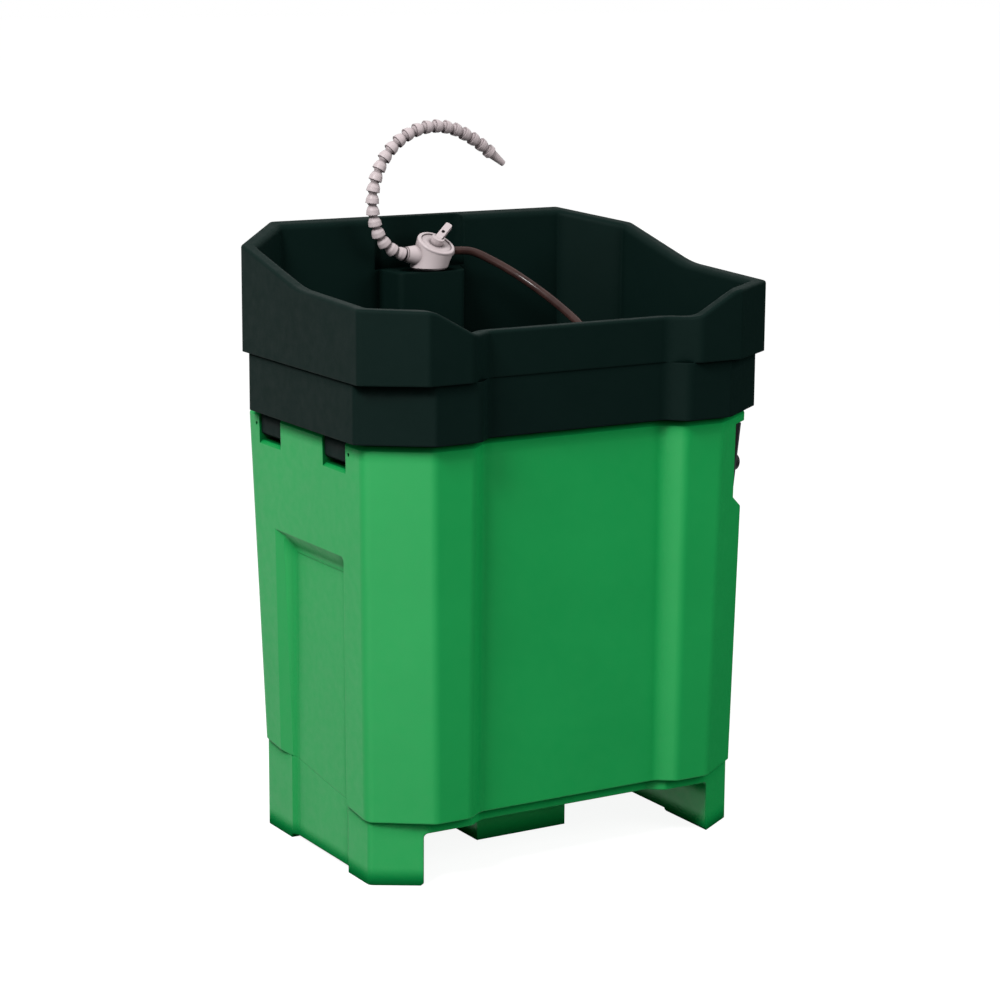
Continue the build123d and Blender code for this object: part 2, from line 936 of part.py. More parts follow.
def sink_basin():
    top = 2 * rim_break_z - sink_bottom
    upper = extrude(outline_face(upper_outline, sink_rounds, sink_band_split), top - sink_band_split)
    lower = extrude(outline_face(lower_outline, sink_rounds, sink_bottom), sink_band_split - sink_bottom)
    sink = upper + lower - rim_cut() - dip_cut()
    ridge_x = dip_half_width + (rim_break_z - dip_height) / dip_slope
    ridges = [
        edge
        for edge in sink.edges()
        if edge.center().Z > dip_height + dip_round / 2
        and dip_half_width < abs(edge.center().X) < ridge_x
        and abs((edge % 0.5).Y) > 0.9
        and edge.center().Y < dip_end - 1
    ]
    sink = fillet(ridges, dip_round)
    room = basin_room()
    sink = round_rim(sink - room, room) - niche_cut()
    for part in sink_tabs() + rest_pads():
        sink += part
    sink -= Pos(0, drain_y, sink_bottom - 1.0) * post(drain_tail_radius + running_clearance, FAR / 10)
    tube_hole = post(supply_radius + running_clearance, FAR)
    return sink - Pos(supply_x, supply_y, sink_bottom - 1.0) * tube_hole


# Drain of the basin


def drain_flange():
    """Flanged outlet with a seat for the strainer and a tail through the floor."""
    flange_z = basin_floor + drain_gasket_thickness
    flange = Pos(0, 0, flange_z) * post(drain_flange_radius, drain_flange_thickness)
    tail = Pos(0, 0, drain_tail_end) * post(drain_tail_radius, flange_z - drain_tail_end)
    bore = Pos(0, 0, drain_tail_end - 1.0) * post(drain_bore, FAR)
    return Pos(0, drain_y, 0) * (flange + tail - bore)


def drain_gasket():
    gasket = ring(drain_flange_radius - 2.0, drain_tail_radius + loose_clearance, drain_gasket_thickness)
    return Pos(0, drain_y, basin_floor) * gasket


def drain_nut():
    nut = hexagon(drain_nut_radius, drain_nut_height, drain_tail_radius + running_clearance)
    return Pos(0, drain_y, sink_bottom - drain_nut_height) * nut


def strainer():
    """Perforated plate on the flange, with a pull knob and a skirt in the bore."""
    plate = post(drain_tail_radius, strainer_thickness)
    inner = (strainer_inner_count, strainer_inner_radius)
    outer = (strainer_outer_count, strainer_outer_radius)
    for count, radius in (inner, outer):
        for index in range(count):
            angle = math.radians(360 * index / count)
            plate -= Pos(radius * math.cos(angle), radius * math.sin(angle), 0) * post(
                strainer_hole_radius, strainer_thickness
            )
    knob = Pos(0, 0, strainer_knob_height) * Sphere(strainer_knob_radius)
    stem = post(strainer_stem_radius, strainer_knob_height)
    skirt = Pos(0, 0, -4.0) * ring(drain_bore - loose_clearance, drain_bore - 2.0, 4.0)
    top = basin_floor + drain_gasket_thickness + drain_flange_thickness
    return Pos(0, drain_y, top) * (plate + stem + knob + skirt)


def filter_basket():
    """Slotted basket that hangs under the drain nut and catches the solids."""
    top = sink_bottom - drain_nut_height
    shell = post(basket_radius, basket_height)
    shell -= Pos(0, 0, basket_wall) * post(basket_radius - basket_wall, basket_height)
    neck = drain_tail_radius + running_clearance
    lid = Pos(0, 0, basket_height - basket_wall) * ring(basket_radius, neck, basket_wall)
    slot_height = basket_height - 2 * basket_slot_margin
    slot = Pos(basket_radius, 0, basket_height / 2) * Box(4 * basket_wall, basket_slot_width, slot_height)
    basket = shell + lid
    for index in range(basket_slot_count):
        basket -= Rot(0, 0, 360 * index / basket_slot_count) * slot
    return Pos(0, drain_y, top - basket_height) * basket


# Diverter valve

cap_lean = math.sin(math.radians(valve_cap_tilt))
cap_turn = math.radians(valve_cap_turn)
cap_axis = Vector(
    cap_lean * math.sin(cap_turn),
    -cap_lean * math.cos(cap_turn),
    math.cos(math.radians(valve_cap_tilt)),
)
cap_across = Vector(math.cos(cap_turn), math.sin(cap_turn), 0)
cap_plane = Plane(origin=(valve_cap_x, valve_cap_y, valve_cap_z), x_dir=cap_across, z_dir=cap_axis)
outlet_way = Vector(math.cos(math.radians(outlet_heading)), 0, math.sin(math.radians(outlet_heading)))
outlet_ball = Vector(valve_x - outlet_reach, valve_y, valve_base_z + outlet_height)
outlet_plane = Plane(origin=outlet_ball, x_dir=(0, 1, 0), z_dir=outlet_way)
spout_face = -(flare_start + outlet_collar_thickness)


def valve_gasket():
    gasket = post(valve_base_radius - valve_base_edge, valve_gasket_thickness)
    tube_hole = post(supply_radius + running_clearance, valve_gasket_thickness)
    tube_place = Pos(supply_x - valve_x, supply_y - valve_y, 0)
    return Pos(valve_x, valve_y, shelf_top) * (gasket - tube_place * tube_hole)


def valve_body():
    """Round base that leans into a tilted top, with a spout to the left and a barb to the right."""
    base = Plane.XY.offset(valve_base_z)
    foot = Pos(valve_x, valve_y, 0) * base * Circle(valve_base_radius - valve_base_edge)
    waist = Pos(valve_x, valve_y, valve_base_edge) * base * Circle(valve_base_radius)
    top = cap_plane * Circle(valve_cap_radius)
    body = loft([foot, waist, top], ruled=True)
    root_place = spout_face - spout_length - valve_base_radius
    spout_root = outlet_plane.offset(root_place) * Circle(spout_root_radius)
    spout_end = outlet_plane.offset(spout_face) * Circle(spout_radius)
    body += loft([spout_root, spout_end], ruled=True)
    body += Pos(valve_x, valve_y, barb_z) * Rot(0, 90, 0) * post(barb_radius, barb_reach)
    shank_hole = outlet_plane.offset(spout_face - outlet_shank_length) * post(
        outlet_shank_radius + running_clearance, FAR / 10
    )
    stem_hole = cap_plane.offset(-lever_stem_depth) * post(lever_stem_radius + running_clearance, FAR / 10)
    clear_above = cap_plane * post(2 * valve_base_radius, FAR / 10)
    clear_below = Pos(valve_x, valve_y, valve_base_z - FAR / 10) * post(2 * valve_base_radius, FAR / 10)
    return body - shank_hole - stem_hole - clear_above - clear_below


def valve_cap():
    """Dished disc screwed on the tilted top."""
    disc = post(valve_cap_radius, valve_cap_thickness)
    disc = fillet(disc.edges().sort_by(Axis.Z)[-1:], valve_cap_thickness / 2)
    dish_floor = valve_cap_thickness - valve_cap_dish_depth
    dish = Pos(0, 0, dish_floor) * post(valve_cap_dish_radius, valve_cap_thickness)
    bore = post(lever_stem_radius + running_clearance, valve_cap_thickness)
    return cap_plane * (disc - dish - bore)


def valve_lever():
    """Hub and raised bar that turn on the cap, with a stem down into the body."""
    seat = valve_cap_thickness - valve_cap_dish_depth + running_clearance
    hub = Pos(0, 0, seat) * post(lever_hub_radius, lever_hub_height)
    stem = Pos(0, 0, seat - valve_cap_thickness - lever_stem_depth / 2) * post(
        lever_stem_radius, valve_cap_thickness + lever_stem_depth / 2
    )
    bar = Box(lever_length, lever_width, lever_thickness, align=(Align.MIN, Align.CENTER, Align.MIN))
    bar = fillet(bar.edges().filter_by(Axis.Z), lever_width / 4)
    bar -= Pos(lever_hole_place, 0, 0) * post(lever_hole_radius, lever_thickness)
    tilt = Rot(0, 0, lever_heading) * Rot(0, -lever_rise, 0)
    bar = tilt * Pos(-lever_hub_radius / 2, 0, 0) * bar
    bar = Pos(0, 0, seat + lever_hub_height - lever_thickness) * bar
    return cap_plane * (hub + stem + bar)


coupling_seat_z = tank_top - rim_depth + coupling_shelf_thickness
supply_end = coupling_seat_z + coupling_flange_thickness + coupling_tube_gap


def supply_tube():
    """Tube from the valve down through the sink, with a collar under the sink."""
    tube = Pos(0, 0, supply_end) * post(supply_radius, valve_base_z - supply_end)
    collar_z = sink_bottom - supply_collar_height
    tube += Pos(0, 0, collar_z) * extrude(RegularPolygon(supply_collar_radius, 6), supply_collar_height)
    tube -= Pos(0, 0, supply_end) * post(supply_bore, FAR)
    return Pos(supply_x, supply_y, 0) * tube


# Ball-and-socket hose


def link_profile():
    """Half section of one link: socket round the origin, ball a pitch further along Z."""
    socket = ball_radius + ball_clearance
    lip_bore = math.sqrt(socket**2 - lip_reach**2)
    socket_end = math.sqrt(socket**2 - link_bore**2)
    neck_side = math.sqrt(ball_radius**2 - link_neck**2)
    mouth_side = math.sqrt(ball_radius**2 - (link_neck - 0.5) ** 2)
    outside = Polyline(
        (lip_bore, -lip_reach),
        (lip_radius, -lip_reach),
        (lip_radius, lip_edge - lip_reach),
        (link_radius, link_pitch - flare_end),
        (taper_radius, link_pitch - taper_end),
        (link_neck, link_pitch - flare_start),
        (link_neck, link_pitch - neck_side),
    )
    ball = ThreePointArc(
        (link_neck, link_pitch - neck_side),
        (ball_radius, link_pitch),
        (link_neck - 0.5, link_pitch + mouth_side),
    )
    inside = Polyline(
        (link_neck - 0.5, link_pitch + mouth_side),
        (link_bore, link_pitch + mouth_side),
        (link_bore, socket_end),
    )
    seat = ThreePointArc((link_bore, socket_end), (socket, 0), (lip_bore, -lip_reach))
    return make_face([*outside.edges(), *ball.edges(), *inside.edges(), *seat.edges()])


def link_solid():
    return revolve(Plane.XZ * link_profile(), Axis.Z)


def outlet_fitting():
    """Ball of the valve's outlet, on a collar and a shank that turns in the spout."""
    neck_side = math.sqrt(ball_radius**2 - link_neck**2)
    ball = Sphere(ball_radius) - Pos(0, 0, neck_side + ball_radius) * Box(*[2 * ball_radius] * 3)
    neck = Pos(0, 0, -flare_start) * post(link_neck, flare_start)
    collar = Pos(0, 0, spout_face + running_clearance) * post(
        outlet_collar_radius, outlet_collar_thickness - running_clearance
    )
    shank_start = spout_face - outlet_shank_length + loose_clearance
    shank = Pos(0, 0, shank_start) * post(outlet_shank_radius, outlet_shank_length)
    bore = Pos(0, 0, shank_start) * post(link_bore, FAR / 10)
    return outlet_plane * (ball + neck + collar + shank - bore)


def nozzle():
    """Tapered nozzle whose socket holds the last ball."""
    socket = ball_radius + ball_clearance
    lip_bore = math.sqrt(socket**2 - lip_reach**2)
    socket_end = math.sqrt(socket**2 - link_bore**2)
    shell = Polyline(
        (lip_bore, -lip_reach),
        (lip_radius, -lip_reach),
        (lip_radius, nozzle_collar - lip_reach),
        (nozzle_root_radius, nozzle_root),
        (nozzle_tip_radius, nozzle_length),
        (nozzle_tip_bore, nozzle_length),
        (link_bore, socket_end),
    )
    seat = ThreePointArc((link_bore, socket_end), (socket, 0), (lip_bore, -lip_reach))
    return revolve(Plane.XZ * make_face([*shell.edges(), *seat.edges()]), Axis.Z)


def link_planes():
    """Plane of every link along the hose, and one more for the nozzle."""
    planes = []
    place = outlet_ball
    heading = outlet_heading
    for count, turn in zip(link_turn_counts, link_turn_angles):
        for _ in range(count):
            heading -= turn
            way = Vector(math.cos(math.radians(heading)), 0, math.sin(math.radians(heading)))
            planes.append(Plane(origin=place, x_dir=(0, 1, 0), z_dir=way))
            place = place + way * link_pitch
    planes.append(Plane(origin=place, x_dir=(0, 1, 0), z_dir=way))
    return planes


# Brush hose and brush


def hose_bends(route):
    """Largest radius that each corner's two runs allow."""
    radii = []
    for before, corner, after in zip(route, route[1:], route[2:]):
        arriving = Vector(*corner) - Vector(*before)
        leaving = Vector(*after) - Vector(*corner)
        half_turn = math.radians(arriving.get_angle(leaving)) / 2
        radii.append(0.45 * min(arriving.length, leaving.length) / math.tan(half_turn))
    return radii


def brush_hose():
    radii = hose_bends(hose_route)
    path = FilletPolyline(*hose_route, radius=radii)
    hose = sweep(Plane(path @ 0, z_dir=path % 0) * Circle(hose_radius), path=path)
    expected = math.pi * hose_radius**2 * path.length
    print("hose length", round(path.length, 1), "radii", [round(radius) for radius in radii])
    print("hose volume over section times length", round(hose.volume / expected, 4))
    return hose


brush_way = (Vector(*hose_route[-1]) - Vector(*hose_route[-2])).normalized()
brush_plane = Plane(origin=hose_route[-1], x_dir=(0, 0, 1), z_dir=brush_way)
brush_shoulder = brush_grip_length * 0.2


def brush_handle():
    """Turned grip with a round head for the bristles."""
    half = Polyline(
        (0, 0),
        (brush_neck_radius, 0),
        (brush_neck_radius, brush_shoulder / 2),
        (brush_grip_radius, brush_shoulder),
        (brush_grip_radius, brush_grip_length - brush_shoulder),
        (brush_neck_radius, brush_grip_length),
        (brush_head_radius, brush_grip_length + brush_head_length / 3),
        (brush_head_radius, brush_grip_length + brush_head_length),
        (0, brush_grip_length + brush_head_length),
        close=True,
    )
    return brush_plane * revolve(Plane.XZ * make_face(half), Axis.Z)


def brush_bristles():
    """Round tuft, one plain solid a little wider at its tips."""
    start = brush_grip_length + brush_head_length
    tuft_radius = brush_head_radius - bristle_radius
    root = Plane.XY.offset(start) * Circle(tuft_radius)
    tips = Plane.XY.offset(start + bristle_length) * Circle(tuft_radius * bristle_flare)
    return brush_plane * loft([root, tips], ruled=True)


# Pump, riser and coupling

pump_seat = tank_wall + pump_base_height


def pump_base():
    """Slotted foot that lets the liquid in under the pump."""
    base = post(pump_base_radius, pump_base_height)
    base -= post(pump_radius - pump_base_plate, pump_base_height - pump_base_plate)
    slot_depth = 4 * pump_base_plate + 2 * (pump_base_radius - pump_radius)
    slot = Box(slot_depth, pump_base_slot_width, pump_base_height / 2)
    slot = Pos(pump_base_radius, 0, (pump_base_height - pump_base_plate) / 2) * slot
    for index in range(pump_base_slot_count):
        base -= Rot(0, 0, 360 * index / pump_base_slot_count) * slot
    base -= post(pump_inlet_radius, FAR)
    return Pos(0, pump_y, tank_wall) * base


def pump_housing():
    """Motor housing with the volute in its underside and the outlet on top."""
    body = post(pump_radius, pump_height)
    body = fillet(body.edges().sort_by(Axis.Z)[-1:], pump_top_round)
    body -= post(volute_radius, volute_height)
    body -= post(impeller_shaft_radius + running_clearance, volute_height + impeller_shaft_length)
    outlet = Pos(0, pump_outlet_offset, pump_height - pump_top_round) * post(
        riser_radius, pump_outlet_height + pump_top_round
    )
    port = Pos(0, pump_outlet_offset, volute_height / 2) * post(riser_bore / 2, FAR)
    return Pos(0, pump_y, pump_seat) * (body + outlet - port)


def pump_impeller():
    """Vaned disc on the motor shaft."""
    disc = post(impeller_radius, impeller_plate)
    vane = Pos(impeller_radius / 2, 0, impeller_plate) * Box(
        impeller_radius - 1.0, impeller_vane_width, impeller_vane_height, align=UPRIGHT
    )
    wheel = disc
    for index in range(impeller_vane_count):
        wheel += Rot(0, 0, 360 * index / impeller_vane_count) * vane
    shaft_length = volute_height + impeller_shaft_length - 2 * impeller_gap
    wheel += post(impeller_shaft_radius, shaft_length)
    return Pos(0, pump_y, pump_seat + impeller_gap) * wheel


riser_start_z = pump_seat + pump_height + pump_outlet_height
riser_end_z = coupling_seat_z - coupling_shank_length
riser_high_bend_z = riser_end_z - riser_top_run
riser_low_bend_z = riser_high_bend_z - riser_slant_height


def riser_pipe():
    route = [
        (0, pump_y + pump_outlet_offset, riser_start_z),
        (0, pump_y + pump_outlet_offset, riser_low_bend_z),
        (supply_x, supply_y, riser_high_bend_z),
        (supply_x, supply_y, riser_end_z),
    ]
    return bent_rod(route, riser_radius, riser_bend) - bent_rod(route, riser_bore, riser_bend)


def riser_coupling():
    """Cup that takes the supply tube, on a flange that sits on the tank's shelf."""
    cup_bore = supply_radius + coupling_clearance
    cup = post(cup_bore + coupling_cup_wall, coupling_cup_height)
    flange = post(coupling_flange_radius, coupling_flange_thickness)
    shank = Pos(0, 0, -coupling_shank_length) * post(coupling_shank_radius, coupling_shank_length)
    bore = Pos(0, 0, coupling_flange_thickness) * post(cup_bore, FAR)
    passage = Pos(0, 0, -coupling_shank_length) * post(riser_bore, FAR)
    return Pos(supply_x, supply_y, coupling_seat_z) * (cup + flange + shank - bore - passage)


def coupling_nut():
    nut = hexagon(coupling_nut_radius, coupling_nut_height, coupling_shank_radius + running_clearance)
    return Pos(supply_x, supply_y, tank_top - rim_depth - coupling_nut_height) * nut


# Heater, probe and float on the service plate

plate_face = bay_plane - tank_wall - plate_thickness
plate_top = bay_top - plate_below_bay_top
plate_bottom = plate_top - plate_height
plate_middle = (plate_bottom + plate_top) / 2
tank_floor = channel_height + tank_wall
heater_low = tank_floor + heater_above_floor
heater_inner = plate_face - heater_reach - heater_span
probe_low = tank_floor + probe_above_floor
float_stem_low = plate_middle - float_stem_drop


def service_plate():
    x_range = (plate_face, plate_face + plate_thickness)
    return block(x_range, (plate_front, plate_back), (plate_bottom, plate_top))


def heater_element():
    near, far = heater_y
    down = plate_face - heater_reach
    route = [
        (plate_face, near, plate_middle),
        (down, near, plate_middle),
        (down, near, heater_low),
        (heater_inner, near, heater_low),
        (heater_inner, far, heater_low),
        (down, far, heater_low),
        (down, far, plate_middle),
        (plate_face, far, plate_middle),
    ]
    return bent_rod(route, heater_radius, heater_bend)


def thermostat_probe():
    down = plate_face - probe_reach
    route = [
        (plate_face, probe_y, plate_middle),
        (down, probe_y, plate_middle),
        (down, probe_y, probe_low),
    ]
    bulb = Pos(down, probe_y, probe_low) * post(probe_bulb_radius, probe_bulb_length)
    bulb = fillet(bulb.edges(), probe_bulb_radius * 0.6)
    return bent_rod(route, probe_radius, probe_reach / 2) + bulb


float_x = plate_face - float_stem_reach


def float_stem():
    route = [
        (plate_face, float_y, plate_middle),
        (float_x, float_y, plate_middle),
        (float_x, float_y, float_stem_low),
    ]
    stop = Pos(float_x, float_y, float_stem_low) * post(float_stop_radius, float_stop_height)
    return bent_rod(route, float_stem_radius, float_stem_reach / 2) + stop


def level_float():
    """Ring that rides up the stem, at rest on the stop."""
    body = ring(float_radius, float_stem_radius + running_clearance, float_height)
    rims = [edge for edge in body.edges().filter_by(GeomType.CIRCLE) if edge.radius > float_stem_radius + 1]
    body = fillet(rims, float_radius / 4)
    return Pos(float_x, float_y, float_stem_low + float_stop_height) * body


# Control box with its sloping panel

panel_lean = math.degrees(math.atan2(box_head - box_foot, box_top - box_bottom))
panel_way = Vector(math.cos(math.radians(panel_lean)), 0, -math.sin(math.radians(panel_lean)))
panel_up = Vector(math.sin(math.radians(panel_lean)), 0, math.cos(math.radians(panel_lean)))
panel_height = math.hypot(box_head - box_foot, box_top - box_bottom)
gland_x = bay_plane + gland_nut_radius + loose_clearance


def on_panel(y, z, out=0.0):
    """Plane on the panel's back face, with its normal out of the panel."""
    x = box_foot + (box_head - box_foot) * (z - box_bottom) / (box_top - box_bottom)
    return Plane(origin=Vector(x, y, z) + panel_way * out, x_dir=(0, 1, 0), z_dir=panel_way)


def control_box():
    """Open-fronted housing against the back of the bay."""
    outer = [(bay_plane, box_bottom), (box_foot, box_bottom), (box_head, box_top), (bay_plane, box_top)]
    inner = [
        (bay_plane + box_wall, box_bottom + box_wall),
        (FAR, box_bottom + box_wall),
        (FAR, box_top - box_wall),
        (bay_plane + box_wall, box_top - box_wall),
    ]
    shell = prism_y(outer, box_front, box_back) - prism_y(inner, box_front + box_wall, box_back - box_wall)
    gland_hole = Rot(90, 0, 0) * Cylinder(gland_tail_radius, 4 * box_wall)
    return shell - Pos(gland_x, box_back, gland_z) * gland_hole


def panel_screw_places():
    middle = (box_top + box_bottom) / 2
    reach = panel_height / 2 - panel_screw_inset
    places = []
    for y in (box_front + panel_screw_inset, box_back - panel_screw_inset):
        for side in (-1, 1):
            places.append((y, middle + side * reach * panel_up.Z))
    return places


def control_panel():
    """Cover plate with openings for the knob shaft, the switch and the lamp."""
    centre = on_panel((box_front + box_back) / 2, (box_bottom + box_top) / 2)
    plate = extrude(centre * Rectangle(box_back - box_front, panel_height), panel_thickness)
    plate -= on_panel(knob_y, knob_z) * post(knob_shaft_radius + running_clearance, panel_thickness)
    window = Rectangle(switch_width + 2 * switch_gap, switch_height + 2 * switch_gap)
    plate -= extrude(on_panel(switch_y, switch_z) * window, panel_thickness)
    plate -= switch_pin(switch_pin_radius + running_clearance, loose_clearance)
    plate -= on_panel(lamp_y, lamp_z) * post(lamp_radius * 0.7, panel_thickness)
    for y, z in panel_screw_places():
        plate -= on_panel(y, z) * post(panel_screw_shank_radius, panel_thickness)
    return plate


def panel_screws():
    screws = []
    for y, z in panel_screw_places():
        head = fillet(post(panel_screw_radius, panel_screw_height).edges().sort_by(Axis.Z)[-1:], 1.0)
        shank = post(panel_screw_shank_radius, panel_screw_shank_length)
        shank = Pos(0, 0, -panel_screw_shank_length) * shank
        screws.append(on_panel(y, z, panel_thickness) * (head + shank))
    return screws


def control_knob():
    """Round knob with a pointer groove, on a shaft through the panel."""
    knob = post(knob_radius, knob_height)
    knob = fillet(knob.edges().sort_by(Axis.Z)[-1:], knob_round)
    groove = Box(knob_radius, knob_pointer_width, 2 * knob_pointer_depth)
    knob -= Rot(0, 0, 90) * Pos(knob_radius / 2, 0, knob_height) * groove
    shaft = Pos(0, 0, -knob_shaft_length) * post(knob_shaft_radius, knob_shaft_length)
    return on_panel(knob_y, knob_z, panel_thickness + running_clearance) * (knob + shaft)


def switch_pin(radius, extra):
    """Line across the switch that the rocker tips about."""
    length = switch_width + 2 * (switch_gap + switch_pin_reach + extra)
    return on_panel(switch_y, switch_z, panel_thickness / 2) * Rot(0, 90, 0) * Cylinder(radius, length)


def power_switch():
    """Rocker with a hollow top, at rest with its lower end pressed in."""
    half_height = switch_height / 2
    crown = half_height * math.tan(math.radians(switch_tilt))
    low = panel_thickness / 2 - switch_depth
    top = panel_thickness / 2 + switch_pin_radius
    side = [
        (-half_height, low),
        (half_height, low),
        (half_height, top + crown),
        (0.0, top),
        (-half_height, top + crown),
    ]
    rocker = prism_x(side, -switch_width / 2, switch_width / 2)
    tip = Pos(0, 0, panel_thickness / 2) * Rot(switch_tilt, 0, 0) * Pos(0, 0, -panel_thickness / 2)
    return on_panel(switch_y, switch_z) * tip * rocker + switch_pin(switch_pin_radius, 0.0)


def indicator_lamp():
    lens = post(lamp_radius, lamp_height)
    lens = fillet(lens.edges().sort_by(Axis.Z)[-1:], lamp_height * 0.6)
    neck = Pos(0, 0, -panel_thickness) * post(lamp_radius * 0.7, panel_thickness)
    return on_panel(lamp_y, lamp_z, panel_thickness) * (lens + neck)


def cable_gland():
    """Inlet for the mains lead at the back end of the box."""
    nut = hexagon(gland_nut_radius, gland_length * 0.4, gland_bore)
    dome = Pos(0, 0, gland_length * 0.4) * ring(gland_radius, gland_bore, gland_length * 0.6)
    tail = Pos(0, 0, -box_wall) * ring(gland_tail_radius, gland_bore, box_wall)
    return Pos(gland_x, box_back, gland_z) * Rot(-90, 0, 0) * (nut + dome + tail)


# All pieces by node name

tank = whole_tank()
tank_frame = tank - grip_panels()
side_panels = tank & grip_panels()
upper_solids = (tank_frame - below_lip()).solids() + (side_panels - below_lip()).solids()
lower_solids = (tank_frame & below_lip()).solids() + (side_panels & below_lip()).solids()

pieces = {
    "tank_shell": Compound(children=upper_solids),
    "tank_base": Compound(children=lower_solids),
    "hinge_pins": Compound(children=hinge_pins()),
    "drain_plug": drain_plug(),
    "sink_basin": sink_basin(),
    "drain_flange": drain_flange(),
    "drain_gasket": drain_gasket(),
    "drain_nut": drain_nut(),
    "strainer": strainer(),
    "filter_basket": filter_basket(),
    "valve_gasket": valve_gasket(),
    "valve_body": valve_body(),
    "valve_cap": valve_cap(),
    "valve_lever": valve_lever(),
    "supply_tube": supply_tube(),
    "outlet_fitting": outlet_fitting(),
    "brush_hose": brush_hose(),
    "brush_handle": brush_handle(),
    "brush_bristles": brush_bristles(),
    "pump_base": pump_base(),
    "pump_housing": pump_housing(),
    "pump_impeller": pump_impeller(),
    "riser_pipe": riser_pipe(),
    "riser_coupling": riser_coupling(),
    "coupling_nut": coupling_nut(),
    "service_plate": service_plate(),
    "heater_element": heater_element(),
    "thermostat_probe": thermostat_probe(),
    "float_stem": float_stem(),
    "level_float": level_float(),
    "control_box": control_box(),
    "control_panel": control_panel(),
    "panel_screws": Compound(children=panel_screws()),
    "control_knob": control_knob(),
    "power_switch": power_switch(),
    "indicator_lamp": indicator_lamp(),
    "cable_gland": cable_gland(),
}

hose_planes = link_planes()
for number, plane in enumerate(hose_planes[:-1], start=1):
    pieces[f"gooseneck_link_{number:02d}"] = plane * link_solid()
pieces["gooseneck_nozzle"] = hose_planes[-1] * nozzle()

os.makedirs("parts", exist_ok=True)
for name, piece in pieces.items():
    export_step(piece, f"parts/{name}.step")
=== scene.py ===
import json
import math
import random

import bpy
from mathutils import Matrix, Vector


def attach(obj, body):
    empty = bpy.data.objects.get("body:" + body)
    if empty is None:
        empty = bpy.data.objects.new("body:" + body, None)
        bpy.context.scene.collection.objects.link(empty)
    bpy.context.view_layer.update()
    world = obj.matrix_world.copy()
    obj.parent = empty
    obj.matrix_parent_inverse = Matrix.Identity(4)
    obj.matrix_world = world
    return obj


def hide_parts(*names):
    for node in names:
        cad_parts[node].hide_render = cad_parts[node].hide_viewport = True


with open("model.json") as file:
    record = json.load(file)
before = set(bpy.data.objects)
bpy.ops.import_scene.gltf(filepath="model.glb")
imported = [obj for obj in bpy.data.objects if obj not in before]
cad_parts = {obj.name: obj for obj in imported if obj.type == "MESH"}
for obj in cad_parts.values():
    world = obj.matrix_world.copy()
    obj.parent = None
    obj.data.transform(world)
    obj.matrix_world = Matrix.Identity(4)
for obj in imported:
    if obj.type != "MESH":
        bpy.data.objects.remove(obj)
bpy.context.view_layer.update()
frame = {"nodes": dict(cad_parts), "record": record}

nodes = frame["nodes"]

# Camera
camera_place = Vector((-2.2572, -3.7651, 1.4592))
camera_yaw = math.radians(30.9774)
camera_pitch = math.radians(11.7265)
camera_roll = math.radians(0.365)
focal_share = 2.728209
sensor_width = 36.0
view_reach = 100.0

# Brush hose: the route's points in metres
hose_points = (
    (0.033, 0.212, 0.9355),
    (0.052, 0.212, 0.9355),
    (0.075, 0.2095, 0.932),
    (0.100, 0.1985, 0.9185),
    (0.125, 0.178, 0.902),
    (0.145, 0.151, 0.883),
    (0.160, 0.118, 0.8645),
    (0.171, 0.080, 0.8445),
    (0.178, 0.036, 0.823),
    (0.180, -0.012, 0.792),
    (0.176, -0.064, 0.756),
    (0.158, -0.114, 0.731),
    (0.118, -0.152, 0.7225),
    (0.058, -0.172, 0.722),
    (-0.006, -0.168, 0.724),
    (-0.070, -0.142, 0.731),
    (-0.142, -0.088, 0.734),
)
hose_diameter = 0.014

# Bristles on the brush head, which starts where the hose ends
bristle_start = 0.112
bristle_length = 0.034
bristle_radius = 0.00055
bristle_tip = 0.6
bristle_sides = 5
bristle_count = 360
tuft_radius = 0.0149
tuft_flare = 1.25
lean_spread = 0.06
length_spread = 0.06


def make_camera():
    """Camera at the photograph's viewing angle."""
    forward = Vector((
        math.sin(camera_yaw) * math.cos(camera_pitch),
        math.cos(camera_yaw) * math.cos(camera_pitch),
        -math.sin(camera_pitch),
    ))
    level_right = forward.cross(Vector((0, 0, 1))).normalized()
    level_up = level_right.cross(forward)
    right = math.cos(camera_roll) * level_right + math.sin(camera_roll) * level_up
    up = math.cos(camera_roll) * level_up - math.sin(camera_roll) * level_right
    data = bpy.data.cameras.new("camera")
    data.sensor_width = sensor_width
    data.lens = focal_share * sensor_width
    data.clip_end = view_reach
    camera = bpy.data.objects.new("camera", data)
    turn = Matrix((right, up, -forward)).transposed()
    camera.matrix_world = Matrix.Translation(camera_place) @ turn.to_4x4()
    bpy.context.collection.objects.link(camera)
    bpy.context.scene.camera = camera


# Materials

# Painted shade in hollows: how dark the colour is painted deep in a hollow, and the openness at which the
# painted darkening of the colour and of the gloss begin and end
painted_hollow_shade = 0.25
painted_shade_below = 0.5
shade_free_above = 0.95
painted_gloss_shade_below = 0.88
gloss_unshaded_above = 0.995

# Moulded plastic: scales of its clouds, gloss patches and waves, and the depths of waves and grain in metres
cloud_scale = 5.0
patch_scale = 60.0
wave_scale = 9.0
wave_depth = 0.004
grain_depth = 0.0004


def linear(red, green, blue):
    """Colour given as 0 to 255 display values, as the shader wants it."""
    values = []
    for value in (red, green, blue):
        share = value / 255
        values.append(share / 12.92 if share <= 0.04045 else ((share + 0.055) / 1.055) ** 2.4)
    return (*values, 1.0)


